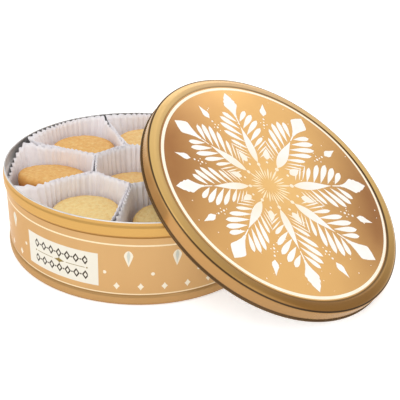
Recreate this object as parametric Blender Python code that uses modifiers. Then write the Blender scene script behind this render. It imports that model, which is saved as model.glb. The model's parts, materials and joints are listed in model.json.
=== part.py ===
"""Round tinplate biscuit tin, opened, with its lid leaning on the rim.

A shallow cylindrical body with a seamed-in bottom panel, a separate slip-on
lid, and the packing inside: eight fluted paper cups (one in the middle, seven
round it), each with a stack of three or four round butter biscuits.

Frame: origin on the body's axis, on the flat underside of the bottom panel.
+Z is up, -Y is the front of the tin, where its label panel is printed, and
the lid leans down towards +X.
All lengths are in metres.
"""

import math

import bmesh
import bpy
from mathutils import Euler, Vector

# ---------------------------------------------------------------- dimensions
R_BODY = 0.1000          # outer radius of the cylindrical wall
HEIGHT = 0.0630          # top of the rolled rim
SHEET = 0.0005           # drawn thickness of the tinplate
R_COLLAR = 0.1012        # the swelled collar that the lid slips over
Z_COLLAR = 0.0525        # lower edge of the collar
R_RIM = 0.1005           # widest point of the rolled rim
RIM_IN = 0.0983          # inner side of the rolled rim
Z_BASE_BEAD = 0.0078     # top of the bead round the foot
R_BASE_BEAD = 0.1010
HOOK_IN = 0.0970         # the wall's seam hook reaches in to here
PANEL_FLAT = 0.0936      # flat centre of the bottom panel
PANEL_EDGE = 0.0992      # outer edge of the bottom panel, inside the seam
GAP = 0.0003             # clearance between neighbouring pieces

R_LID = 0.1019           # outer radius of the lid's skirt
R_LID_CURL = 0.1026      # the curled lower edge of the skirt
LID_DEPTH = 0.0113       # skirt edge to the shoulder
R_LID_BAND = 0.0935      # inner edge of the domed rim band
LID_PANEL = 0.0112       # top of the flat panel above the skirt's edge
LID_TILT = math.radians(31.58)     # lid axis from the vertical
LID_ASIDE = 0.0376       # the lid's centre lies this far towards +Y

CUP_RING = 0.0662        # ring of seven cups
CUP_AZIMUTHS = (129.7, 179.1, 228.3, 277.5, 329.5, 22.9, 76.3)   # degrees
CUP_MIDDLE_Y = -0.0057   # the middle cup has slid a little to the front
CUP_BASE = 0.0272        # radius over the pleats at the base
CUP_TOP = 0.0273         # and at the top, in the ring
CUP_TOP_MIDDLE = 0.0315  # the middle cup has room to open out
CUP_HEIGHT = 0.0562
CUP_PLEATS = 18
PLEAT_DEPTH = 0.0010
PAPER = 0.0003

R_BISCUIT = 0.0255
LAYERS = {3: ("low", "mid", "top"), 4: ("low", "mid", "upper", "top")}
STACKS = {                # biscuits in each cup, and how thick they baked
    "middle": (3, 0.0134),
    "ring_1": (4, 0.0125), "ring_2": (4, 0.0125), "ring_3": (4, 0.0111),
    "ring_4": (4, 0.0111), "ring_5": (4, 0.0111), "ring_6": (4, 0.0111),
    "ring_7": (4, 0.0125),
}
TIPPED = "ring_3"        # the top biscuit of this stack lies tipped
TIP_ANGLE = math.radians(9.5)
TIP_TOWARDS = math.radians(-68)    # direction of its raised edge

STEPS = 56               # facets of the turned tinplate pieces
BISCUIT_STEPS = 18

Z_PANEL_TOP = SHEET
Z_CUP = Z_PANEL_TOP + GAP
Z_STACK = Z_CUP + PAPER + GAP


# ------------------------------------------------------------------- helpers
def clear_scene():
    for ob in list(bpy.data.objects):
        bpy.data.objects.remove(ob, do_unlink=True)


def collection(name):
    coll = bpy.data.collections.new(name)
    bpy.context.scene.collection.children.link(coll)
    return coll


def material(name, colour, rough, metal):
    mat = bpy.data.materials.new(name)
    mat.use_nodes = True
    shader = mat.node_tree.nodes["Principled BSDF"]
    shader.inputs["Base Color"].default_value = (*colour, 1.0)
    shader.inputs["Roughness"].default_value = rough
    shader.inputs["Metallic"].default_value = metal
    return mat


def turned_mesh(name, profile, closed):
    """A profile in the XZ plane as a mesh of edges, for a Screw modifier."""
    mesh = bpy.data.meshes.new(name)
    bm = bmesh.new()
    verts = [bm.verts.new((r, 0.0, z)) for r, z in profile]
    pairs = list(zip(verts[:-1], verts[1:]))
    if closed:
        pairs.append((verts[-1], verts[0]))
    for a, b in pairs:
        bm.edges.new((a, b))
    bm.to_mesh(mesh)
    bm.free()
    return mesh


def add_screw(ob, steps):
    mod = ob.modifiers.new("turn", "SCREW")
    mod.axis = "Z"
    mod.angle = 2 * math.pi
    mod.steps = steps
    mod.render_steps = steps
    mod.use_merge_vertices = True
    mod.merge_threshold = 0.00002
    mod.use_smooth_shade = True


def place(name, mesh, mat, coll, location=(0, 0, 0), rotation=(0, 0, 0)):
    ob = bpy.data.objects.new(name, mesh)
    if not mesh.materials:
        mesh.materials.append(mat)
    ob.location = location
    ob.rotation_euler = rotation
    coll.objects.link(ob)
    return ob


# ------------------------------------------------------------------ profiles
def wall_profile():
    """The body wall, from the rolled rim down the outside to the seam hook,
    and back up the inside."""
    t = SHEET
    outside = [
        (R_RIM - 0.0006, HEIGHT - 0.0002),
        (R_RIM, HEIGHT - 0.0011),
        (R_COLLAR, HEIGHT - 0.0042),
        (R_COLLAR, Z_COLLAR + 0.0020),
        (R_COLLAR - 0.0004, Z_COLLAR),
        (R_BODY, Z_COLLAR - 0.0012),
        (R_BODY, Z_BASE_BEAD + 0.0006),
        (R_BASE_BEAD, Z_BASE_BEAD - 0.0012),
        (R_BASE_BEAD, 0.0022),
        (R_BODY - 0.0004, 0.0004),
        (R_BODY - 0.0012, 0.0),
        (HOOK_IN, 0.0),
    ]
    inside = [
        (HOOK_IN, t),
        (R_BODY - 0.0007, t),
        (R_BASE_BEAD - t, 0.0024),
        (R_BASE_BEAD - t, Z_BASE_BEAD - 0.0014),
        (R_BODY - t, Z_BASE_BEAD + 0.0005),
        (R_BODY - t, Z_COLLAR - 0.0011),
        (R_COLLAR - t, Z_COLLAR + 0.0022),
        (R_COLLAR - t, HEIGHT - 0.0044),
        (R_RIM - 0.0012, HEIGHT - 0.0021),
        (RIM_IN + 0.0005, HEIGHT - 0.0020),
        (RIM_IN, HEIGHT - 0.0012),
        (RIM_IN + 0.0006, HEIGHT - 0.0002),
        (R_RIM - 0.0011, HEIGHT),
    ]
    return outside + inside


def bottom_profile():
    """The bottom panel: its flat centre rests level with the seam, and its
    raised edge lies on the wall's hook."""
    t = SHEET
    ledge = t + GAP
    return [
        (0.0, t),
        (PANEL_FLAT, t),
        (PANEL_FLAT + 0.0010, ledge + t),
        (PANEL_EDGE, ledge + t),
        (PANEL_EDGE, ledge),
        (PANEL_FLAT + 0.0014, ledge),
        (PANEL_FLAT + 0.0004, 0.0),
        (0.0, 0.0),
    ]


def lid_profile():
    """The pressed lid: flat panel, domed rim band, shoulder, skirt, and the
    edge curled outwards. z = 0 is the skirt's lower edge."""
    t = SHEET
    top = LID_DEPTH + 0.0008
    outside = [
        (0.0, LID_PANEL),
        (R_LID_BAND - 0.0006, LID_PANEL),
        (R_LID_BAND + 0.0006, LID_PANEL + 0.0007),
        ((R_LID_BAND + R_LID) / 2, top + 0.0002),
        (R_LID - 0.0014, LID_DEPTH + 0.0002),
        (R_LID, LID_DEPTH - 0.0012),
        (R_LID, 0.0020),
        (R_LID_CURL, 0.0012),
        (R_LID_CURL, 0.0004),
        (R_LID_CURL - 0.0005, 0.0),
    ]
    inside = [
        (R_LID - t, 0.0),
        (R_LID - t, LID_DEPTH - 0.0014),
        (R_LID - 0.0017, LID_DEPTH - t + 0.0001),
        ((R_LID_BAND + R_LID) / 2, top - t + 0.0001),
        (R_LID_BAND + 0.0007, LID_PANEL - t + 0.0006),
        (R_LID_BAND - 0.0006, LID_PANEL - t),
        (0.0, LID_PANEL - t),
    ]
    return outside + inside


def biscuit_profile(h):
    """A biscuit: flat base, slightly swelled side and a low crown."""
    r = R_BISCUIT
    return [
        (0.0, h),
        (0.78 * r, h - 0.0006),
        (0.985 * r, 0.66 * h),
        (r, 0.30 * h),
        (0.955 * r, 0.0),
        (0.0, 0.0),
    ]


# ---------------------------------------------------------------------- cups
def cup_mesh(name, r_base, r_top):
    """A pleated paper cup: an open cone whose side vertices go in and out by
    turns; Solidify gives it the paper's thickness."""
    mesh = bpy.data.meshes.new(name)
    bm = bmesh.new()
    bmesh.ops.create_cone(
        bm, cap_ends=True, cap_tris=False, segments=2 * CUP_PLEATS,
        radius1=r_base, radius2=r_top, depth=CUP_HEIGHT,
    )
    half = CUP_HEIGHT / 2
    lid_face = [f for f in bm.faces if f.calc_center_median().z > half - 1e-6]
    bmesh.ops.delete(bm, geom=lid_face, context="FACES_ONLY")
    for v in bm.verts:
        turn = math.atan2(v.co.y, v.co.x) / (math.pi / CUP_PLEATS)
        if round(turn) % 2:
            radius = math.hypot(v.co.x, v.co.y)
            v.co.xy *= (radius - PLEAT_DEPTH) / radius
        v.co.z += half
    bmesh.ops.recalc_face_normals(bm, faces=bm.faces)
    down = min(bm.faces, key=lambda f: f.calc_center_median().z)
    if down.normal.z > 0:
        bmesh.ops.reverse_faces(bm, faces=bm.faces)
    bm.to_mesh(mesh)
    bm.free()
    return mesh


def add_paper(ob):
    mod = ob.modifiers.new("paper", "SOLIDIFY")
    mod.thickness = PAPER
    mod.offset = -1.0
    mod.use_even_offset = True


# ------------------------------------------------------------------ lid pose
def lid_pose():
    """Where the lid comes to rest: its curled edge on the ground, and the
    underside of its panel on the near point of the body's rolled rim."""
    s, c = math.sin(LID_TILT), math.cos(LID_TILT)
    z = R_LID_CURL * s + GAP
    reach = max(r * s + h * c for r, h in wall_profile())
    under = LID_PANEL - SHEET
    out = (reach + GAP - under - z * c) / s
    return Vector((out, LID_ASIDE, z)), Euler((0.0, LID_TILT, 0.0))


# --------------------------------------------------------------------- model
def build():
    clear_scene()
    tin = collection("biscuit_tin")

    gold = material("gold_tinplate", (0.72, 0.47, 0.22), 0.35, 0.7)
    lid_gold = material("lid_gold_tinplate", (0.60, 0.38, 0.16), 0.28, 0.85)
    plain = material("plain_tinplate", (0.62, 0.62, 0.62), 0.40, 0.9)
    paper = material("white_paper", (0.86, 0.86, 0.88), 0.85, 0.0)
    baked = material("baked_biscuit", (0.72, 0.42, 0.17), 0.80, 0.0)

    wall = place("tin_wall", turned_mesh("tin_wall", wall_profile(), True), gold, tin)
    add_screw(wall, STEPS)
    panel = place("tin_bottom", turned_mesh("tin_bottom", bottom_profile(), False), plain, tin)
    add_screw(panel, STEPS)

    centre, turn = lid_pose()
    lid = place("lid", turned_mesh("lid", lid_profile(), False), lid_gold, tin, centre, turn)
    add_screw(lid, STEPS)

    ring_cup = cup_mesh("cup_ring", CUP_BASE, CUP_TOP)
    middle_cup = cup_mesh("cup_middle", CUP_BASE, CUP_TOP_MIDDLE)
    biscuits = {
        thick: turned_mesh(f"biscuit_{round(thick * 10000)}", biscuit_profile(thick), False)
        for thick in sorted({thick for _, thick in STACKS.values()})
    }

    spots = [("middle", 0.0, CUP_MIDDLE_Y)]
    for i, azimuth in enumerate(CUP_AZIMUTHS, 1):
        turn_i = math.radians(azimuth)
        spots.append((f"ring_{i}", CUP_RING * math.cos(turn_i), CUP_RING * math.sin(turn_i)))

    for where, x, y in spots:
        mesh = middle_cup if where == "middle" else ring_cup
        cup = place(f"paper_cup_{where}", mesh, paper, tin, (x, y, Z_CUP))
        add_paper(cup)
        count, thick = STACKS[where]
        for level, layer in enumerate(LAYERS[count]):
            z = Z_STACK + level * (thick + GAP)
            one = place(f"biscuit_{where}_{layer}", biscuits[thick], baked, tin, (x, y, z))
            one.rotation_euler.z = 0.7 * level
            if where == TIPPED and layer == "top":
                one.location.z += 0.955 * R_BISCUIT * math.sin(TIP_ANGLE)
                one.rotation_euler = (0.0, -TIP_ANGLE, TIP_TOWARDS)
            add_screw(one, BISCUIT_STEPS)


build()
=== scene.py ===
"""Looks of the round biscuit tin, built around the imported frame."""

import json
import math
import random

import bmesh
import bpy
import numpy as np
from mathutils import Euler, Matrix, Vector, geometry, noise


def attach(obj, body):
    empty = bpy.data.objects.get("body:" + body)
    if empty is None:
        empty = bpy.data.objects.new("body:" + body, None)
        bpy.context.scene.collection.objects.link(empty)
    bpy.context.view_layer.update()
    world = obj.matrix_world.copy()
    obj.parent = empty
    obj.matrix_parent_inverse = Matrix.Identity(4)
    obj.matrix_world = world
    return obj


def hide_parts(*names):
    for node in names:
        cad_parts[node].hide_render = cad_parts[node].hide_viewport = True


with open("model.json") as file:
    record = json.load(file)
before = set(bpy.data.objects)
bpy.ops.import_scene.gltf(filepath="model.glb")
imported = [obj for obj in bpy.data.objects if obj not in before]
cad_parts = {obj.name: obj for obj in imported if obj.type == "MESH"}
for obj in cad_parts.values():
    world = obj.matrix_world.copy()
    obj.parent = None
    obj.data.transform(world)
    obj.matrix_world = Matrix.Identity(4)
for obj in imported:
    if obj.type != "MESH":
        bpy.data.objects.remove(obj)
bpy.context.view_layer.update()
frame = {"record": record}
RECORD = frame["record"]
BODIES = RECORD["behaviour"]["bodies"]
BODY_OF = {n: b for b, nodes in BODIES.items() for n in nodes}
MM = 0.001
random.seed(7)
rng = np.random.default_rng(7)


# ------------------------------------------------------------ colour, nodes
def lin(r, g, b):
    def one(c):
        c /= 255.0
        return c / 12.92 if c <= 0.04045 else ((c + 0.055) / 1.055) ** 2.4
    return (one(r), one(g), one(b), 1.0)


class E:
    """A socket that arithmetic can be written on."""

    def __init__(self, tree, sock):
        self.t, self.s = tree, sock

    def op(self, kind, *others, clamp=False):
        node = self.t.nodes.new("ShaderNodeMath")
        node.operation = kind
        node.use_clamp = clamp
        self.t.links.new(self.s, node.inputs[0])
        for i, o in enumerate(others, 1):
            if isinstance(o, E):
                self.t.links.new(o.s, node.inputs[i])
            else:
                node.inputs[i].default_value = float(o)
        return E(self.t, node.outputs[0])

    def __add__(self, o): return self.op("ADD", o)
    __radd__ = __add__
    def __mul__(self, o): return self.op("MULTIPLY", o)
    __rmul__ = __mul__
    def __sub__(self, o): return self.op("SUBTRACT", o)
    def __rsub__(self, o): return (self * -1.0) + o
    def __truediv__(self, o): return self.op("DIVIDE", o)
    def __neg__(self): return self * -1.0
    def abs(self): return self.op("ABSOLUTE")
    def max(self, o): return self.op("MAXIMUM", o)
    def min(self, o): return self.op("MINIMUM", o)
    def pow(self, o): return self.op("POWER", o)
    def cos(self): return self.op("COSINE")
    def sin(self): return self.op("SINE")
    def sqrt(self): return self.op("SQRT")
    def fract(self): return self.op("FRACT")
    def atan2(self, o): return self.op("ARCTAN2", o)
    def gt(self, o): return self.op("GREATER_THAN", o)
    def clamp(self): return self.op("ADD", 0.0, clamp=True)

    def inside(self, width=0.14):
        """1 where this distance is positive, with a soft edge that wide."""
        return (self * (1.0 / width) + 0.5).clamp()


class Mat:
    def __init__(self, name):
        self.m = bpy.data.materials.new(name)
        self.m.use_nodes = True
        self.t = self.m.node_tree
        self.b = self.t.nodes["Principled BSDF"]

    def set(self, **vals):
        for k, v in vals.items():
            self.b.inputs[k.replace("_", " ")].default_value = v
        return self

    def link(self, sock, name):
        self.t.links.new(sock.s if isinstance(sock, E) else sock, self.b.inputs[name])

    def coords(self):
        node = self.t.nodes.new("ShaderNodeTexCoord")
        sep = self.t.nodes.new("ShaderNodeSeparateXYZ")
        self.t.links.new(node.outputs["Object"], sep.inputs[0])
        self.obj = node.outputs["Object"]
        return tuple(E(self.t, s) * 1000.0 for s in sep.outputs)

    def vec(self, x, y, z):
        node = self.t.nodes.new("ShaderNodeCombineXYZ")
        for i, v in enumerate((x, y, z)):
            if isinstance(v, E):
                self.t.links.new(v.s, node.inputs[i])
            else:
                node.inputs[i].default_value = v
        return node.outputs[0]

    def noise(self, vec, scale, detail=3.0, rough=0.5):
        node = self.t.nodes.new("ShaderNodeTexNoise")
        node.inputs["Scale"].default_value = scale
        node.inputs["Detail"].default_value = detail
        node.inputs["Roughness"].default_value = rough
        self.t.links.new(vec, node.inputs["Vector"])
        return E(self.t, node.outputs[0])

    def voronoi(self, vec, scale, feature="F1"):
        node = self.t.nodes.new("ShaderNodeTexVoronoi")
        node.feature = feature
        node.inputs["Scale"].default_value = scale
        self.t.links.new(vec, node.inputs["Vector"])
        return E(self.t, node.outputs["Distance"])

    def mix(self, a, b, f):
        """Colours a and b, each a tuple or a socket, mixed by f."""
        node = self.t.nodes.new("ShaderNodeMix")
        node.data_type = "RGBA"
        for v, i in ((a, 6), (b, 7)):
            if isinstance(v, tuple):
                node.inputs[i].default_value = v
            else:
                self.t.links.new(v, node.inputs[i])
        if isinstance(f, E):
            self.t.links.new(f.s, node.inputs[0])
        else:
            node.inputs[0].default_value = f
        return node.outputs[2]

    def bump(self, height, strength=0.3, distance=0.0002, normal=None):
        node = self.t.nodes.new("ShaderNodeBump")
        node.inputs["Strength"].default_value = strength
        node.inputs["Distance"].default_value = distance
        self.t.links.new(height.s, node.inputs["Height"])
        if normal is not None:
            self.t.links.new(normal, node.inputs["Normal"])
        self.t.links.new(node.outputs[0], self.b.inputs["Normal"])
        return node.outputs[0]


# ---------------------------------------------------------------- materials
GOLD_BODY = lin(199, 158, 106)
GOLD_COLLAR = lin(200, 155, 86)
GOLD_LINE_AND_SHADE = lin(142, 102, 48)
CREAM = lin(240, 220, 182)
PRINT_WHITE = lin(232, 222, 200)
PRINT_CORE = lin(196, 198, 186)
LABEL = lin(226, 221, 207)
INK = lin(46, 38, 32)

LABEL_AT = -78.0     # azimuth of the label's middle, degrees
DROP_RIGHT = 27.9    # from the label's middle to the first drop each side
DROP_LEFT = 28.1
DROP_STEP = 18.0
LABEL_HALF = 16.5
ARC = math.radians(1.0) * 100.0   # millimetres to a degree round the wall


def wall_material():
    m = Mat("printed_gold_tinplate")
    x, y, z = m.coords()
    phi = y.atan2(x) * (180.0 / math.pi)
    cut = LABEL_AT + 180.0
    s = phi - phi.gt(cut) * 360.0 - LABEL_AT       # -180..180 from the label
    right = s.gt(0.0)
    t = right * (s - DROP_RIGHT) + (1.0 - right) * (-s - DROP_LEFT)
    off_label = (s.abs() - (LABEL_HALF + 1.9)).inside(0.2)
    on_body = (z - 8.6).inside(0.3) * (45.2 - z).inside(0.3)
    show = off_label * on_body

    def cell(shift, step):
        return (((t - shift) / step + 0.5).fract() - 0.5) * step * ARC

    # drops
    u = cell(0.0, DROP_STEP).abs()
    v = z - 38.0
    head = (1.0 - (v.max(0.0) / 3.9).pow(1.6)).max(0.0).sqrt() * 2.95 - (v - 3.9).max(0.0) * 4.0
    w = head.min(2.95 - ((-v).max(0.0) / 8.0).pow(1.15) * 2.95)
    drop = (w - u).inside() * show
    core = (w * 0.62 - 0.5 - u * 1.15).inside(0.7) * show
    # dots
    u2 = cell(DROP_STEP / 2, DROP_STEP)
    dot = (1.25 - (u2 * u2 + (z - 24.8) * (z - 24.8)).sqrt()).inside() * show
    # small diamonds
    u3 = cell(DROP_STEP / 4, DROP_STEP / 2).abs()
    v3 = (z - 14.9).abs()
    dia = ((1.0 - ((u3 / 2.2).pow(0.85) + (v3 / 2.9).pow(0.85))) * 1.5).inside() * show
    # label panel and its plain ornament
    us = s * ARC
    vl = z - 25.6
    half = LABEL_HALF * ARC
    label = (half - us.abs()).min(12.3 - vl.abs()).inside()
    q = ((us / 6.6 + 0.5).fract() - 0.5) * 6.6
    q2 = ((us / 6.6).fract() - 0.5) * 6.6
    row = (21.5 - us.abs()).inside(0.1)
    leaf = None
    for at, tall in ((5.7, 3.5), (-5.7, 3.5)):
        d = ((1.0 - (q.abs() / 2.5 + (vl - at).abs() / tall)) * 2.0).inside() * row
        hole = ((1.0 - (q.abs() / 1.25 + (vl - at).abs() / (tall * 0.52))) * 1.0).inside() * row
        p = (0.62 - (q2 * q2 + (vl - at) * (vl - at)).sqrt()).inside() * row
        d = (d - hole).max(p)
        leaf = d if leaf is None else leaf.max(d)
    rule = (0.22 - vl.abs()).inside(0.12) * (19.5 - us.abs()).inside(0.2) * (us.abs() - 5.4).inside(0.2)
    star = ((1.0 - (us.abs() / 4.2 + vl.abs() / 1.5)) * 1.2).inside().max(
        ((1.0 - (us.abs() / 1.2 + vl.abs() / 2.6)) * 1.0).inside())
    bead = (0.6 - ((us.abs() - 21.0) * (us.abs() - 21.0) + vl * vl).sqrt()).inside()
    ink = leaf * label
    gilt = rule.max(star).max(bead) * label
    # bands; a painted shadow line under the collar step and painted shade darkening towards the bottom edge
    r = (x * x + y * y).sqrt()
    lines = (0.55 - (z - 46.0).abs()).inside(0.25).max((0.5 - (z - 8.7).abs()).inside(0.25))
    collar = (z - 51.9).inside(0.5)
    step = (0.55 - (z - 51.75).abs()).inside(0.5)
    foot = (7.9 - z).inside(0.4)
    foot_line = (0.35 - (z - 7.95).abs()).inside(0.3)
    low = ((2.6 - z) / 2.6).clamp()
    # slow tone changes and fine drawing marks
    around = m.vec(x * 0.012, y * 0.012, z * 0.004)
    tone = m.noise(around, 3.0, 2.0)
    fine = m.noise(m.vec(phi * 0.9, z * 0.03, 0.0), 9.0, 4.0, 0.6)
    seam = (0.45 - (180.0 - s.abs()) * ARC).inside(0.3) * (z - 7.6).inside(0.4) * (61.8 - z).inside(0.4)

    c = m.mix(GOLD_BODY, lin(188, 146, 96), (tone - 0.38).clamp() * 1.4)
    c = m.mix(c, GOLD_COLLAR, collar)
    c = m.mix(c, lin(178, 138, 88), foot * 0.85)
    # dark gold for the line at the foot, the painted shadow at the collar step and the painted shade towards the
    # bottom edge
    c = m.mix(c, GOLD_LINE_AND_SHADE, (step.max(foot_line * 0.55)).max(low * 0.75))
    c = m.mix(c, lin(176, 134, 82), seam * 0.5)
    c = m.mix(c, CREAM, lines)
    c = m.mix(c, PRINT_WHITE, drop.max(dot).max(dia))
    c = m.mix(c, PRINT_CORE, core)
    c = m.mix(c, LABEL, label)
    c = m.mix(c, lin(134, 112, 46), gilt)
    c = m.mix(c, INK, ink)
    m.link(c, "Base Color")
    white = (drop.max(dot).max(dia).max(lines).max(label)).clamp()
    m.link((1.0 - white) * 0.62, "Metallic")
    m.link(0.30 + white * 0.14 + (fine - 0.5) * 0.10, "Roughness")
    m.set(Coat_Weight=0.10, Coat_Roughness=0.14, Specular_Tint=(0.80, 0.58, 0.34, 1.0))
    m.bump(fine * 0.25 + seam * 1.5 + white * 0.2, 0.16, 0.00012)
    return m.m


def plain_material(name="bare_tinplate", colour=(226, 224, 222), rough=0.42):
    m = Mat(name)
    x, y, z = m.coords()
    phi = y.atan2(x) * (180.0 / math.pi)
    fine = m.noise(m.vec(phi * 0.35, z * 0.5, (x * x + y * y).sqrt() * 0.6), 5.0, 5.0, 0.65)
    blot = m.noise(m.vec(x * 0.02, y * 0.02, z * 0.02), 4.0, 3.0)
    c = m.mix(lin(*colour), lin(*(int(v * 0.84) for v in colour)), (blot - 0.35).clamp() * 1.6)
    m.link(c, "Base Color")
    m.set(Metallic=0.7)
    m.link(rough + (fine - 0.5) * 0.2, "Roughness")
    m.bump(fine, 0.10, 0.0001)
    return m.m


def lid_material():
    """Gold print on the lid, in the lid's own frame: a soft four-way painted reflection sheen and a painted glow on
    the panel, and the rim band and skirt with painted reflections and painted shade lines."""
    m = Mat("lid_gold_print_and_painted_sheen")
    x, y, z = m.coords()
    r = (x * x + y * y).sqrt()
    ang = y.atan2(x)
    # painted reflection sheen: two darker and two lighter lobes round the panel, darker outwards, and a painted glow
    # in the middle
    lobe = ((ang - math.radians(50.0)) * 2.0).cos() * 0.5 + 0.5
    warp = m.noise(m.vec(x * 0.02, y * 0.02, 0.0), 1.6, 3.0)
    painted_sheen_dark = (lobe.pow(1.35) * ((r - 22.0) / 62.0).clamp() + (warp - 0.5) * 0.35).clamp()
    painted_glow = (1.0 - (r / 46.0)).clamp().pow(1.3)
    c = m.mix(lin(240, 188, 116), lin(164, 110, 62), painted_sheen_dark)
    c = m.mix(c, lin(252, 204, 130), painted_glow)
    # rim band and skirt: their tones round the lid are painted reflections and painted shade
    # painted shade on the rim band, darkest towards one side, with a pale painted reflection on the opposite side
    one = (ang + math.radians(24.0)).cos() * 0.5 + 0.5
    side = (ang - math.radians(120.0)).cos() * 0.5 + 0.5
    band_c = m.mix(lin(232, 192, 118), lin(136, 94, 40), (one.pow(2.2) * 1.05).clamp())
    pale = ((ang - math.radians(150.0)).cos() * 0.5 + 0.5).pow(5.0)
    band_c = m.mix(band_c, lin(222, 186, 148), pale * 0.75)
    band = (r - 93.2).inside(0.3)
    c = m.mix(c, band_c, band)
    skirt = (r - 101.3).inside(0.5)
    # painted reflections on the skirt: dark olive towards one side, and a second darker lobe of painted shade towards
    # the lower side
    skirt_c = m.mix(lin(198, 148, 84), lin(104, 80, 32), side.pow(1.5))
    front = ((ang + math.radians(30.0)).cos() * 0.5 + 0.5).pow(3.0)
    skirt_c = m.mix(skirt_c, lin(152, 114, 70), front * 0.8)
    c = m.mix(c, skirt_c, skirt)
    # painted crease shade: a dark line where the rim band turns into the shoulder
    edge = (0.50 - (r - 101.05).abs()).inside(0.3) * (z - 9.4).inside(0.4)
    # painted step shadow: a thin dark line just inside the rim band
    painted_step_shadow_line = (0.30 - (r - 93.5).abs()).inside(0.25)
    # painted shade: the underside of the curl darkened
    low = (2.55 - z).inside(0.4) * (z - 0.15).inside(0.3) * skirt
    c = m.mix(c, lin(52, 32, 12), edge * 0.95)
    # painted step shadow, strongest towards the upper side
    upper = ((ang - math.radians(82.0)).cos() * 0.5 + 0.5).pow(1.6)
    c = m.mix(c, lin(128, 90, 42), painted_step_shadow_line * 0.8)
    step = (0.80 - (r - 93.7).abs()).inside(0.35)
    c = m.mix(c, lin(50, 34, 14), step * upper)
    c = m.mix(c, lin(64, 42, 18), low * 0.88)
    m.link(c, "Base Color")
    brush = m.noise(m.vec(x * 0.35, y * 0.35, z * 0.35), 1.0, 3.0, 0.5)
    m.set(Metallic=0.55, Coat_Weight=0.22, Coat_Roughness=0.10, Specular_Tint=(0.86, 0.66, 0.40, 1.0))
    m.link(0.24 + (brush - 0.5) * 0.08, "Roughness")
    m.bump(brush, 0.02, 0.0001)
    return m.m


def ink_material(name, colour, warm):
    m = Mat(name)
    x, y, z = m.coords()
    n = m.noise(m.vec(x * 0.05, y * 0.05, 0.0), 2.0, 2.0)
    c = m.mix(lin(*colour), lin(*warm), (n - 0.3).clamp() * 1.1)
    # painted glow: the print turns warm towards the print's off-centre middle
    near = (1.0 - ((x + 2.2) * (x + 2.2) + (y + 11.4) * (y + 11.4)).sqrt() / 46.0).clamp()
    c = m.mix(c, lin(250, 216, 150), near.pow(1.2) * 0.85)
    m.link(c, "Base Color")
    grain = m.noise(m.vec(x, y, z), 2.4, 2.0)
    m.link(0.34 + (grain - 0.5) * 0.12, "Roughness")
    m.set(Metallic=0.0, Coat_Weight=0.4, Coat_Roughness=0.10)
    m.bump(grain, 0.04, 0.0001)
    return m.m


def paper_material():
    m = Mat("greaseproof_paper")
    x, y, z = m.coords()
    fibre = m.noise(m.vec(x * 0.9, y * 0.9, z * 0.35), 2.6, 5.0, 0.6)
    cloud = m.noise(m.vec(x * 0.06, y * 0.06, z * 0.06), 2.2, 2.0)
    c = m.mix(lin(252, 249, 251), lin(240, 234, 238), (cloud - 0.3).clamp() * 1.3)
    c = m.mix(c, lin(236, 214, 190), ((z - 4.0) * -0.06).clamp() * 0.5)
    m.link(c, "Base Color")
    m.set(Roughness=0.78, Metallic=0.0)
    m.b.inputs["Specular IOR Level"].default_value = 0.25
    m.bump(fibre, 0.16, 0.0003)
    return m.m


def biscuit_material(name, crown, mid, brown, radius=26.0, thick=12.0):
    """Baked crumb: pale golden crown, browner towards the rim and the base."""
    m = Mat(name)
    x, y, z = m.coords()
    r = (x * x + y * y).sqrt()
    big = m.noise(m.vec(x * 0.10, y * 0.10, z * 0.10), 1.3, 2.0)
    mid_n = m.noise(m.vec(x * 0.26, y * 0.26, z * 0.26), 1.3, 4.0, 0.6)
    grit = m.noise(m.vec(x, y, z), 1.5, 5.0, 0.65)
    pits = m.voronoi(m.vec(x, y, z), 0.36)
    rim = ((r - (radius - 6.5) + (big - 0.5) * 10.0) / 6.5).clamp().pow(1.4)
    side = ((thick * 0.74 - z) / 5.5).clamp()
    c = m.mix(lin(*crown), lin(*mid), ((mid_n - 0.40) * 3.4).clamp() * 0.8)
    c = m.mix(c, lin(250, 222, 160), ((0.44 - mid_n) * 5.0).clamp() * 0.55)
    c = m.mix(c, lin(*mid), rim * 0.75)
    c = m.mix(c, lin(*brown), (side * 0.8 + rim * 0.22).clamp())
    c = m.mix(c, lin(*[int(v * 0.74) for v in brown]), ((0.26 - pits) * 2.4).clamp() * 0.45)
    m.link(c, "Base Color")
    m.link(0.66 + (grit - 0.5) * 0.3, "Roughness")
    m.b.inputs["Specular IOR Level"].default_value = 0.3
    m.bump(grit * 0.6 + mid_n * 1.6 - (0.30 - pits).max(0.0) * 1.6, 0.7, 0.0010)
    return m.m


# ------------------------------------------------------------------ helpers
def new_object(name, bm_or_mesh, mats, body, matrix=None, replaces=(), sharp=35):
    if isinstance(bm_or_mesh, bmesh.types.BMesh):
        mesh = bpy.data.meshes.new(name)
        bm_or_mesh.to_mesh(mesh)
        bm_or_mesh.free()
    else:
        mesh = bm_or_mesh
    for mt in mats:
        mesh.materials.append(mt)
    if sharp is not None:
        mesh.shade_smooth()
        mesh.set_sharp_from_angle(angle=math.radians(sharp))
    ob = bpy.data.objects.new(name, mesh)
    bpy.context.scene.collection.objects.link(ob)
    if matrix is not None:
        ob.matrix_world = matrix
    bpy.context.view_layer.update()
    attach(ob, body)
    if replaces:
        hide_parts(*replaces)
    return ob


def arc(cx, cz, radius, a0, a1, n, mat):
    """Profile points on an arc, angles in degrees, first point left out."""
    out = []
    for i in range(1, n + 1):
        a = math.radians(a0 + (a1 - a0) * i / n)
        out.append((cx + radius * math.cos(a), cz + radius * math.sin(a), mat))
    return out


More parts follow.
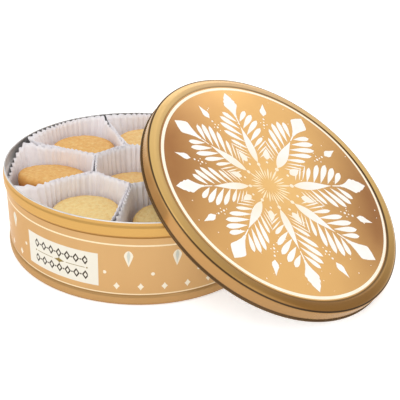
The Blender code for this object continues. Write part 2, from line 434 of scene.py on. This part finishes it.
def lathe(bm, profile, segs, closed, shape=None):
    """Turns (r, z, material) points, in millimetres, into faces that point
    outwards when the profile runs down the outside. Material is that of the
    strip ending at the point. Radius 0 makes a pole."""
    rings = []
    for r, z, _ in profile:
        if r < 1e-6:
            rings.append([bm.verts.new((0, 0, z * MM))])
            continue
        ring = []
        for i in range(segs):
            a = 2 * math.pi * i / segs
            rr, zz = (r, z) if shape is None else shape(r, z, a)
            ring.append(bm.verts.new((rr * MM * math.cos(a), rr * MM * math.sin(a), zz * MM)))
        rings.append(ring)
    pairs = list(zip(range(len(rings) - 1), range(1, len(rings))))
    if closed:
        pairs.append((len(rings) - 1, 0))
    for a, b in pairs:
        ra, rb = rings[a], rings[b]
        mat = profile[b][2]
        for i in range(segs):
            j = (i + 1) % segs
            if len(ra) == 1:
                f = bm.faces.new((ra[0], rb[i], rb[j]))
            elif len(rb) == 1:
                f = bm.faces.new((ra[i], rb[0], ra[j]))
            else:
                f = bm.faces.new((ra[i], rb[i], rb[j], ra[j]))
            f.material_index = mat
            f.smooth = True
    return rings


# -------------------------------------------------------------------- wall
def build_wall(gold, bare):
    """One strip of printed tinplate: curled rim, swelled collar, plain
    cylinder, beaded foot and the hook of the bottom seam."""
    p = [(99.85, 63.0, 1)]
    p += arc(99.85, 62.45, 0.55, 90, 0, 7, 1)            # rim curl, outer half
    p += [(100.42, 61.5, 0), (100.46, 60.8, 0)]
    p += arc(99.2, 58.6, 2.02, 48, 0, 6, 0)              # collar bead
    p += [(101.24, 57.0, 0), (101.26, 55.6, 0), (101.24, 54.4, 0)]
    p += arc(100.14, 53.7, 1.08, 0, -62, 5, 0)
    p += [(100.42, 52.35, 0), (100.14, 51.9, 0), (100.02, 51.3, 0), (100.0, 50.4, 0)]
    p += [(100.0, 40.0, 0), (100.0, 24.0, 0), (100.0, 9.6, 0), (99.96, 8.7, 0), (99.8, 8.2, 0)]
    p += [(99.85, 7.75, 0), (100.4, 7.2, 0), (100.82, 6.4, 0), (101.0, 4.9, 0), (101.0, 3.0, 0),
          (100.85, 1.8, 0), (100.45, 0.9, 0), (99.9, 0.32, 0), (99.2, 0.03, 0), (98.4, 0.0, 0), (97.05, 0.0, 0)]
    p += [(97.05, 0.5, 1), (98.9, 0.5, 1), (99.5, 0.7, 1), (99.9, 1.6, 1), (100.0, 2.9, 1), (100.0, 4.6, 1),
          (99.95, 6.2, 1), (99.7, 6.9, 1), (99.35, 7.8, 1), (99.5, 8.9, 1), (99.5, 24.0, 1), (99.5, 40.0, 1),
          (99.5, 50.8, 1), (99.62, 51.9, 1), (99.95, 52.7, 1), (100.5, 53.4, 1), (100.74, 54.6, 1),
          (100.76, 57.0, 1), (100.7, 58.8, 1), (100.45, 59.9, 1), (100.0, 60.5, 1)]
    p += [(99.8, 61.5, 1)] + arc(99.85, 62.45, 0.55, 262, 90, 10, 1)[:-1]
    bm = bmesh.new()
    lathe(bm, p, 288, True)
    return new_object("tin_wall_skin", bm, [gold, bare], "root", replaces=["tin_wall"], sharp=50)


def build_bottom(bare):
    """Bottom panel with a shallow stepped centre and two stiffening rings."""
    p = [(0, 0.5, 0), (30, 0.5, 0), (60.0, 0.5, 0), (61.0, 0.9, 0), (62.2, 1.0, 0), (63.4, 0.9, 0), (64.4, 0.5, 0),
         (84.0, 0.5, 0), (84.8, 0.75, 0), (85.6, 0.8, 0), (86.4, 0.75, 0), (87.2, 0.5, 0), (93.3, 0.5, 0),
         (93.8, 0.6, 0), (94.3, 1.1, 0), (94.9, 1.3, 0), (99.1, 1.3, 0), (99.2, 1.2, 0), (99.2, 0.85, 0),
         (99.1, 0.8, 0), (95.2, 0.8, 0), (94.7, 0.6, 0), (94.3, 0.15, 0), (93.7, 0.0, 0), (87.5, 0.0, 0),
         (86.6, 0.25, 0), (85.6, 0.3, 0), (84.6, 0.25, 0), (83.7, 0.0, 0), (64.7, 0.0, 0), (63.6, 0.4, 0),
         (62.2, 0.5, 0), (60.8, 0.4, 0), (59.7, 0.0, 0), (30, 0.0, 0), (0, 0.0, 0)]
    bm = bmesh.new()
    lathe(bm, p, 192, False)
    return new_object("tin_bottom_skin", bm, [bare], "root", replaces=["tin_bottom"], sharp=50)


# --------------------------------------------------------------------- lid
TILT = math.radians(31.58)
LID_MATRIX = Matrix.Translation((0.0943067, 0.0376, 0.0540305)) @ Euler((0.0, TILT, 0.0)).to_matrix().to_4x4()
R_PANEL = 92.9
RING_OUT, RING_IN = 92.3, 90.1


def leaf(at, ang, length, width, swell=1.5, blunt=0.75, n=9):
    """Outline of a leaf from a pointed base, widest past the middle."""
    pts = []
    ts = [i / n for i in range(n + 1)]
    w = [0.5 * width * max(math.sin(math.pi * t ** swell), 0.0) ** blunt for t in ts]
    left = [(t * length, v) for t, v in zip(ts, w)]
    right = [(t * length, -v) for t, v in reversed(list(zip(ts, w)))][1:-1]
    ca, sa = math.cos(ang), math.sin(ang)
    for x, y in left + right:
        pts.append((at[0] + x * ca - y * sa, at[1] + x * sa + y * ca))
    return pts


def polygon(at, ang, pts):
    ca, sa = math.cos(ang), math.sin(ang)
    return [(at[0] + x * ca - y * sa, at[1] + x * sa + y * ca) for x, y in pts]


def dot(x, y, r, n=10):
    return [(x + r * math.cos(2 * math.pi * i / n), y + r * math.sin(2 * math.pi * i / n)) for i in range(n)]


def crystal():
    """A plain eight-armed snow crystal, laid out by rule."""
    R = RING_IN
    shapes = []
    first = math.radians(22.4)
    for k in range(8):
        a = first + k * math.pi / 4
        odd = k % 2

        def put(r, side):
            return (r * R * math.cos(a) - side * math.sin(a), r * R * math.sin(a) + side * math.cos(a))
        # long drop next to the middle, narrowing outwards
        tip = put(0.585, 0)
        shapes.append(leaf(tip, a + math.pi, 0.365 * R, 6.4 if odd else 7.2, 1.45, 0.8, 14))
        # spine and tip
        shapes.append(polygon(put(0.595, 0), a, [(0, 0.35), (0.075 * R, 0.55), (0.075 * R, -0.55), (0, -0.35)]))
        if odd:
            kite = [(0, 0.7), (3.4, 1.3), (7.0, 3.0), (11.2, 5.7), (12.6, 5.9), (13.8, 5.0), (15.6, 5.2), (17.4, 3.8),
                    (19.2, 3.4), (24.0, 0.0)]
        else:
            kite = [(0, 0.8), (4.2, 1.6), (9.0, 3.6), (14.2, 6.4), (15.8, 6.3), (19.4, 3.9), (23.6, 0.0)]
        kite += [(x, -y) for x, y in reversed(kite[:-1])]
        shapes.append(polygon(put(0.672, 0), a, kite))
        # pairs of leaves
        for i, (r0, ang, ln, wd) in enumerate((
                (0.360, 50, 0.180, 3.0), (0.424, 48, 0.228, 3.8), (0.490, 46, 0.242, 4.2),
                (0.558, 43, 0.218, 4.4), (0.628, 40, 0.165, 4.0))):
            if odd:
                ang, ln = ang + 4, ln * 0.92
            for sd in (-1, 1):
                base = put(r0, sd * (2.6 - 0.35 * i))
                shapes.append(leaf(base, a + sd * math.radians(ang), ln * R, wd, 1.75, 0.55))
        # fine needles
        for i, (r0, ang, ln) in enumerate(((0.262, 60, 0.11), (0.295, 57, 0.145), (0.327, 54, 0.17))):
            for sd in (-1, 1):
                base = put(r0, sd * 4.0)
                shapes.append(leaf(base, a + sd * math.radians(ang), ln * R, 1.15, 1.2, 0.9, 7))
        # between the arms
        b = a + math.pi / 8

        def pub(r, side=0.0):
            return (r * R * math.cos(b) - side * math.sin(b), r * R * math.sin(b) + side * math.cos(b))
        shapes.append(leaf(pub(0.375), b + math.pi, 0.115 * R, 5.4, 1.4, 0.75, 10))
        shapes.append(polygon(pub(0.735), b, [(0, 0), (3.0, 2.5), (5.4, 2.7), (8.2, 1.5), (13.0, 0), (8.2, -1.5), (5.4, -2.7), (3.0, -2.5)]))
        for r, rad in ((0.70, 0.85), (0.665, 0.6), (0.632, 0.9), (0.598, 0.5)):
            cx, cy = pub(r)
            shapes.append(dot(cx, cy, rad, 8))
        for sd in (-1, 1):
            cx, cy = pub(0.648, sd * 2.6)
            shapes.append(dot(cx, cy, 0.5, 8))
        cx, cy = put(0.205, 0)
        shapes.append(leaf(put(0.222, 0), a + math.pi, 0.038 * R, 2.8, 1.0, 0.7, 6))
        cx, cy = pub(0.232)
        shapes.append(dot(cx, cy, 1.0, 8))
    for i in range(32):
        b = first + i * math.pi / 16
        r0 = (0.058, 0.075)[i % 2] * R
        ln = (0.135, 0.080, 0.115, 0.075)[i % 4] * R
        shapes.append(leaf((r0 * math.cos(b), r0 * math.sin(b)), b, ln, (1.2, 0.8)[i % 2], 1.3, 0.8, 6))
    pick = random.Random(31)
    for i in range(110):
        b = pick.uniform(0, 2 * math.pi)
        r = pick.uniform(0.30, 0.95) * R
        shapes.append(dot(r * math.cos(b), r * math.sin(b), pick.choice((0.18, 0.24, 0.32, 0.45)), 6))
    # the print sits a little off the lid's middle: its rays still end at the ring
    mid = Vector((-2.2, -11.4))

    def place_point(q):
        q = Vector(q) * 1.03
        d = q.normalized() if q.length > 1e-9 else Vector((1, 0))
        b = mid.dot(d)
        reach = -b + math.sqrt(b * b - mid.length_squared + R * R)
        return tuple(mid + d * (q.length / R) * reach)
    return [[place_point(q) for q in s] for s in shapes]


def panel_faces(bm, segs, z):
    """The flat panel as triangles: 0 gold, 1 white ring, 2 ornament."""
    verts, edges, faces = [], [], []

    def ring(r):
        start = len(verts)
        for i in range(segs):
            a = 2 * math.pi * i / segs
            verts.append(Vector((r * math.cos(a), r * math.sin(a))))
        edges.extend((start + i, start + (i + 1) % segs) for i in range(segs))
    ring(R_PANEL)
    ring(RING_OUT)
    ring(RING_IN)
    for r in (84.0, 74.0, 60.0, 44.0, 28.0, 12.0):
        ring_pts = 96
        start = len(verts)
        for i in range(ring_pts):
            a = 2 * math.pi * (i + 0.37) / ring_pts
            verts.append(Vector((r * math.cos(a), r * math.sin(a))))
    for s in crystal():
        start = len(verts)
        area = sum(s[i - 1][0] * s[i][1] - s[i][0] * s[i - 1][1] for i in range(len(s)))
        pts = s if area > 0 else list(reversed(s))
        verts.extend(Vector(q) for q in pts)
        faces.append(list(range(start, start + len(pts))))
    vo, _, fo, _, _, src = geometry.delaunay_2d_cdt(verts, edges, faces, 0, 1e-5)
    made = [bm.verts.new((v.x * MM, v.y * MM, z * MM)) for v in vo]
    for tri, orig in zip(fo, src):
        mid = sum((vo[i] for i in tri), Vector((0, 0))) / 3
        r = mid.length
        a, b, c = (vo[i] for i in tri)
        if (b - a).cross(c - a) < 0:
            tri = list(reversed(tri))
        if abs((b - a).cross(c - a)) < 1e-9:
            continue
        f = bm.faces.new([made[i] for i in tri])
        f.smooth = False
        f.material_index = 3 if RING_IN < r < RING_OUT else (2 if orig else 0)


def build_lid(gold, bare, white, cream):
    """A pressed lid: printed panel, domed rim band, shoulder crease, skirt
    and outward curl. Material 0 gold, 1 bare, 2 white, 3 cream."""
    segs = 288
    band = [(93.3, 11.16, 0), (93.6, 11.08, 0), (93.95, 11.2, 0)]
    for i in range(1, 13):
        t = i / 12
        band.append((93.95 + 6.5 * t, 11.2 + 0.95 * math.sin(math.pi * t) ** 0.85 + 0.12 * t, 0))
    crease = [(100.75, 11.12, 0), (101.0, 11.0, 0), (101.25, 10.98, 0)]
    shoulder = arc(100.95, 10.05, 0.95, 72, 0, 6, 0)
    skirt = [(101.9, 9.0, 0), (101.9, 6.0, 0), (101.9, 3.2, 0), (101.86, 2.5, 0), (101.84, 2.15, 0), (101.95, 1.85, 0)]
    curl = arc(101.85, 0.95, 0.95, 72, -90, 9, 0) + arc(101.85, 0.95, 0.95, -90, -175, 4, 1)
    inner = [(101.1, 1.7, 1), (101.38, 2.4, 1), (101.4, 4.0, 1), (101.4, 9.4, 1), (101.2, 10.1, 1), (100.7, 10.45, 1),
             (100.2, 10.7, 1), (98.6, 11.35, 1), (97.2, 11.6, 1), (95.8, 11.4, 1), (94.4, 10.95, 1), (93.6, 10.6, 1),
             (92.9, 10.7, 1), (80, 10.7, 1), (50, 10.7, 1), (20, 10.7, 1), (0, 10.7, 1)]
    prof = [(R_PANEL, 11.2, 0)] + band + crease + shoulder + skirt + curl + inner
    bm = bmesh.new()
    lathe(bm, prof, segs, False)
    panel_faces(bm, segs, 11.2)
    bmesh.ops.remove_doubles(bm, verts=bm.verts, dist=2e-6)
    return new_object("lid_skin", bm, [gold, bare, white, cream], "lid",
                      matrix=LID_MATRIX, replaces=["lid"], sharp=40)


# -------------------------------------------------------------------- cups
SPOTS = {"middle": Vector((0, -5.7))}
for i, azimuth in enumerate((129.7, 179.1, 228.3, 277.5, 329.5, 22.9, 76.3), 1):
    a = math.radians(azimuth)
    SPOTS[f"ring_{i}"] = Vector((66.2 * math.cos(a), 66.2 * math.sin(a)))
# where a lip has folded down: direction, spread (degrees) and drop (mm)
DIPS = {"ring_3": (240.0, 52.0, 17.0), "ring_4": (281.0, 46.0, 9.0), "ring_5": (300.0, 40.0, 7.0),
        "ring_2": (196.0, 30.0, 1.0)}


def cup_reach(name, a):
    """How far the cup's lip may open in that direction: to its neighbours'
    half way, or to the tin's wall."""
    c = SPOTS[name]
    d = Vector((math.cos(a), math.sin(a)))
    near = [60.0]
    for other, o in SPOTS.items():
        if other == name:
            continue
        gap = o - c
        cosine = d.dot(gap.normalized())
        if cosine > 0.05:
            near.append((gap.length / 2 - 0.5) / cosine)
    wall = 99.0
    b = c.dot(d)
    near.append(-b + math.sqrt(b * b - c.length_squared + wall * wall))
    return sum((n / 40.0) ** -80 for n in near) ** (-1 / 80) * 40.0


def cup_limit(name, a):
    """The hard limit in that direction, for any height."""
    c = SPOTS[name]
    d = Vector((math.cos(a), math.sin(a)))
    best = 60.0
    for other, o in SPOTS.items():
        if other != name:
            gap = o - c
            cosine = d.dot(gap.normalized())
            if cosine > 0.02:
                best = min(best, (gap.length / 2 - 0.14) / cosine)
    b = c.dot(d)
    return min(best, -b + math.sqrt(b * b - c.length_squared + 98.95 * 98.95))


def tri(t):
    t = t % 1.0
    return 4 * abs(t - 0.5) - 1


def build_cup(name, paper):
    seed = sorted(SPOTS).index(name) * 13.7
    pleats, per, rows = 46, 6, 15
    n = pleats * per
    c = SPOTS[name]
    bm = bmesh.new()
    rings = []
    z0, base = 0.85, 26.95
    for j in range(rows + 1):
        t = j / rows
        ring = []
        for i in range(n):
            a = 2 * math.pi * i / n
            turn = Vector((math.cos(a), math.sin(a), 0))
            slow = noise.noise(turn * 1.3 + Vector((seed, 0, t * 0.6)))
            quick = noise.noise(turn * 3.4 + Vector((0, seed, t * 1.4)))
            phase = i / per + 0.32 * noise.noise(turn * 4.0 + Vector((seed, seed, t * 0.5)))
            fold = tri(phase)
            top = cup_reach(name, a) - 0.65 + 0.5 * slow
            flare = t ** 1.5 * (0.98 + 0.05 * quick)
            r = base + (top - base) * min(flare, 1.0)
            r += fold * (0.32 + 0.70 * t) * (1 + 0.25 * quick)
            r = max(min(r, cup_limit(name, a)), 26.55)
            if t < 0.06:
                r = min(r, 93.2 - c.length if name != "middle" else r)
            height = 59.6 + 1.2 * slow + 0.8 * quick + 0.7 * fold
            lip = math.hypot(c.x + r * turn.x, c.y + r * turn.y)
            height += 2.7 * min(max((lip - 82.0) / 13.0, 0.0), 1.0)
            if name in DIPS:
                at, spread, drop = DIPS[name]
                off = (math.degrees(a) - at + 180.0) % 360.0 - 180.0
                height -= drop * math.exp(-(off / spread) ** 2) * (0.9 + 0.25 * quick)
            z = z0 + (min(height, 62.4) - z0) * t
            ring.append(bm.verts.new(((c.x + r * math.cos(a)) * MM, (c.y + r * math.sin(a)) * MM, z * MM)))
        rings.append(ring)
    for ra, rb in zip(rings[:-1], rings[1:]):
        for i in range(n):
            j = (i + 1) % n
            bm.faces.new((ra[i], ra[j], rb[j], rb[i]))
    inner = []
    for i in range(n):
        a = 2 * math.pi * i / n
        inner.append(bm.verts.new(((c.x + 20 * math.cos(a)) * MM, (c.y + 20 * math.sin(a)) * MM, z0 * MM)))
    mid = bm.verts.new((c.x * MM, c.y * MM, z0 * MM))
    for i in range(n):
        j = (i + 1) % n
        bm.faces.new((rings[0][j], rings[0][i], inner[i], inner[j]))
        bm.faces.new((inner[j], inner[i], mid))
    ob = new_object(f"paper_cup_{name}_skin", bm, [paper], "root", replaces=[f"paper_cup_{name}"], sharp=28)
    mod = ob.modifiers.new("thickness", "SOLIDIFY")
    mod.thickness = 0.00014
    mod.offset = -1.0
    return ob


# ---------------------------------------------------------------- biscuits
def biscuit_mesh(name, seed, H, crown=0.0):
    """A baked round: low crown, rounded rim, rough browned side."""
    R, n = 26.0, 96
    prof = []
    for r in (0, 2, 4, 6, 8, 10, 12, 14, 16, 17.5, 19, 20.3, 21.5):
        prof.append((r, H + crown * (1 - (r / 24.0) ** 2) - 0.25 * (r / 21.5) ** 3))
    shoulder = H + crown * (1 - (21.5 / 24.0) ** 2) - 0.25
    for i in range(1, 8):
        a = math.radians(90 - i * 11.5)
        prof.append((21.5 + 4.5 * math.cos(a), shoulder - 4.3 * (1 - math.sin(a))))
    prof += [(26.0, H * 0.45), (25.85, 3.2), (25.6, 2.2), (25.2, 1.2), (24.6, 0.5), (23.8, 0.12), (21, 0.0), (14, 0.0),
             (7, 0.0), (0, 0.0)]
    bm = bmesh.new()

    def shape(r, z, a):
        turn = Vector((math.cos(a), math.sin(a), 0))
        k = r / R
        edge = (noise.noise(turn * 1.1 + Vector((seed, 3.1, 0))) * 0.40
                + noise.noise(turn * 3.2 + Vector((seed, 0, z * 0.2))) * 0.25)
        rr = r + (edge - 0.22) * k ** 3
        p = Vector((r * turn.x, r * turn.y, z))
        lump = noise.fractal(p * 0.16 + Vector((seed, 0, 0)), 0.9, 2.1, 4)
        small = noise.noise(p * 0.9 + Vector((0, seed, 0)))
        if z > 2.8:
            wave = 0.10 * math.sin(r * 1.35 + 1.2 * noise.noise(turn * 1.5 + Vector((seed, 0, 9)))) * max(0.0, 1 - (r / 22) ** 4)
            if r < 24.6:
                return rr, min(z - 0.30 + 0.42 * lump + 0.12 * small + wave, H + crown + 0.05)
            return min(rr + 0.22 * lump - 0.12 + 0.16 * small, 26.25), z
        return rr - 0.1, max(z, 0.0)
    lathe(bm, [(r, z, 0) for r, z in prof], n, False, shape)
    mesh = bpy.data.meshes.new(name)
    bm.to_mesh(mesh)
    bm.free()
    mesh.shade_smooth()
    return mesh


TIPPED, TIP_ANGLE, TIP_TOWARDS = "ring_3", math.radians(9.5), math.radians(-68)


LAYERS = {3: ("low", "mid", "top"), 4: ("low", "mid", "upper", "top")}
STACKS = {"middle": (3, 13.4), "ring_1": (4, 12.5), "ring_2": (4, 12.5), "ring_3": (4, 11.1),
          "ring_4": (4, 11.1), "ring_5": (4, 11.1), "ring_6": (4, 11.1), "ring_7": (4, 12.5)}


# the top biscuits don't lie quite in the middle of their cups
NUDGE = {"ring_1": (-0.5, -0.4, 0.99), "ring_2": (-1.0, -0.8, 0.995), "ring_3": (-0.7, -0.5, 0.982),
         "ring_4": (1.4, 1.0, 0.95), "ring_5": (1.2, 0.9, 0.97), "middle": (-1.1, -0.8, 1.0)}


def build_biscuits(mats):
    tone = {"middle": 0, "ring_1": 0, "ring_2": 1, "ring_3": 1, "ring_4": 2, "ring_5": 2, "ring_6": 0, "ring_7": 1}
    made = {}
    k = 0
    for where, c in SPOTS.items():
        count, thick = STACKS[where]
        for level, layer in enumerate(LAYERS[count]):
            k += 1
            node = f"biscuit_{where}_{layer}"
            z = 1.4 + level * (thick + 0.3)
            which = tone[where] if layer == "top" else (k % 3)
            crown = 1.3 if layer == "top" else 0.0
            key = (k % 4, which, thick, crown)
            if key not in made:
                mesh = biscuit_mesh(f"biscuit_shape_{k}", 2.3 + 5.1 * (k % 4), thick, crown)
                mesh.materials.append(mats[which])
                made[key] = mesh
            turn = Euler((0.0, 0.0, 0.9 * k))
            mat = Matrix.Translation((c.x * MM, c.y * MM, z * MM)) @ turn.to_matrix().to_4x4()
            if layer == "top" and where in NUDGE:
                dx, dy, size = NUDGE[where]
                c = c + Vector((dx, dy))
                turn = Euler((0.0, 0.0, 0.9 * k))
                mat = (Matrix.Translation((c.x * MM, c.y * MM, z * MM)) @ turn.to_matrix().to_4x4()
                       @ Matrix.Diagonal((size, size, 1.0, 1.0)))
            if where == TIPPED and layer == "top":
                z += 0.955 * 25.5 * math.sin(TIP_ANGLE)
                mat = (Matrix.Translation((c.x * MM, c.y * MM, z * MM))
                       @ Euler((0.0, -TIP_ANGLE, TIP_TOWARDS)).to_matrix().to_4x4())
            new_object(f"{node}_skin", made[key], [], BODY_OF[node], matrix=mat, replaces=[node], sharp=None)


# ------------------------------------------------------------------- model
gold = wall_material()
bare = plain_material()
lid_gold = lid_material()
white = ink_material("white_print", (252, 249, 244), (244, 236, 222))
cream = ink_material("cream_print", (254, 246, 226), (250, 232, 200))
paper = paper_material()
crumbs = [
    biscuit_material("biscuit_golden", (246, 206, 138), (236, 180, 104), (196, 124, 54)),
    biscuit_material("biscuit_deep", (238, 190, 116), (226, 162, 82), (180, 106, 40)),
    biscuit_material("biscuit_pale", (246, 218, 152), (238, 196, 122), (208, 146, 74)),
]
build_wall(gold, bare)
build_bottom(bare)
build_lid(lid_gold, bare, white, cream)
for spot in SPOTS:
    build_cup(spot, paper)
build_biscuits(crumbs)

# ------------------------------------------------------------------- stage
floor_mesh = bpy.data.meshes.new("floor")
bm = bmesh.new()
bmesh.ops.create_grid(bm, x_segments=8, y_segments=8, size=6.0)
bm.to_mesh(floor_mesh)
bm.free()
floor = bpy.data.objects.new("floor", floor_mesh)
fm = Mat("pale_floor")
fx, fy, fz = fm.coords()
fn = fm.noise(fm.vec(fx * 0.001, fy * 0.001, 0.0), 4.0, 3.0)
fm.link(fm.mix((0.93, 0.93, 0.93, 1), (0.91, 0.91, 0.91, 1), fn), "Base Color")
fm.set(Roughness=0.9)
fm.b.inputs["Specular IOR Level"].default_value = 0.0
fm.b.inputs["Emission Color"].default_value = (1, 1, 1, 1)
fm.b.inputs["Emission Strength"].default_value = 0.5
floor_mesh.materials.append(fm.m)
floor.location.z = -0.0002
bpy.context.scene.collection.objects.link(floor)

TURN = Matrix.Rotation(math.radians(36.5), 3, "Z")


def area(name, loc, target, size, power, colour=(1, 1, 1)):
    light = bpy.data.lights.new(name, "AREA")
    light.shape = "RECTANGLE"
    light.size, light.size_y = size
    light.energy = power
    light.color = colour
    ob = bpy.data.objects.new(name, light)
    loc = TURN @ Vector(loc)
    target = TURN @ Vector(target)
    ob.location = loc
    ob.rotation_euler = (loc - target).to_track_quat("Z", "Y").to_euler()
    bpy.context.scene.collection.objects.link(ob)


area("key", (-0.45, -0.9, 1.6), (0.03, 0, 0.03), (1.1, 1.1), 7.0)
area("fill", (1.2, -1.0, 0.9), (0.03, 0, 0.03), (1.0, 0.8), 2.5)
area("back", (0.3, 1.4, 1.2), (0.03, 0, 0.03), (1.4, 0.7), 3.0)

world = bpy.data.worlds.new("studio")
world.use_nodes = True
bpy.context.scene.world = world
wt = world.node_tree
bg = wt.nodes["Background"]
geo = wt.nodes.new("ShaderNodeTexCoord")
sep = wt.nodes.new("ShaderNodeSeparateXYZ")
ramp = wt.nodes.new("ShaderNodeValToRGB")
ramp.color_ramp.elements[0].position = 0.0
ramp.color_ramp.elements[0].color = (0.78, 0.79, 0.81, 1)
ramp.color_ramp.elements[1].position = 0.75
ramp.color_ramp.elements[1].color = (1, 1, 1, 1)
wt.links.new(geo.outputs["Generated"], sep.inputs[0])
wt.links.new(sep.outputs[2], ramp.inputs[0])
wt.links.new(ramp.outputs[0], bg.inputs[0])
bg.inputs[1].default_value = 0.86

# ------------------------------------------------------------------ camera
cam_data = bpy.data.cameras.new("camera")
cam_data.sensor_width = 36.0
cam_data.lens = 56.025
cam_data.clip_end = 50
cam = bpy.data.objects.new("camera", cam_data)
right = TURN @ Vector((0.9969194, 0.058177, 0.0526035))
up = TURN @ Vector((-0.0734546, 0.4573947, 0.8862249))
back = -(TURN @ Vector((-0.0274974, 0.8873587, -0.460259)))
rot = Matrix((right, up, back)).transposed()
cam.matrix_world = Matrix.Translation(TURN @ Vector((0.05924, -0.430629, 0.253601))) @ rot.to_4x4()
bpy.context.scene.collection.objects.link(cam)
bpy.context.scene.camera = cam
bpy.context.scene.view_settings.view_transform = "Standard"
bpy.context.scene.view_settings.look = "None"
